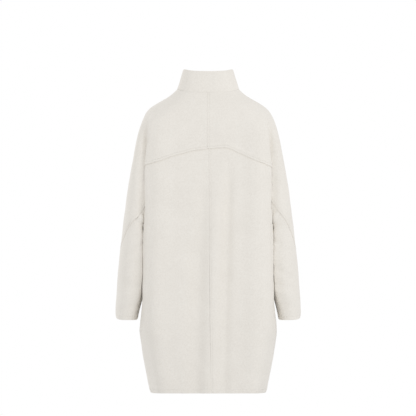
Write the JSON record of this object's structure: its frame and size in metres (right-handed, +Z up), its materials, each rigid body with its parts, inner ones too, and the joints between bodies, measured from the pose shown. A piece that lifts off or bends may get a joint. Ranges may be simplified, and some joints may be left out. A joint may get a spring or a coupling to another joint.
{
  "type": "cocoon coat",
  "caption": "Hollow knee-length cocoon coat of felted wool with a funnel collar, yokes cut in one with the upper sleeves, and a lapped front.",
  "frame": {"origin": "centre of the neck opening at the height of the back neck seam, where the wearer's neck and shoulders hold the coat", "axes": "+Z up, +Y towards the coat's front, +X towards the side that is on the right when the back is seen"},
  "size_m": [0.556, 0.2991, 0.9719],
  "materials": {
    "wool": "felted off-white wool with a soft nap"
  },
  "bodies": {
    "root": {"collar": "wool", "back_yoke_left": "wool", "back_yoke_right": "wool", "front_yoke_left": "wool", "front_yoke_right": "wool", "back_left": "wool", "back_right": "wool", "front_left": "wool", "front_right": "wool", "sleeve_left": "wool", "sleeve_right": "wool"}
  },
  "joints": []
}
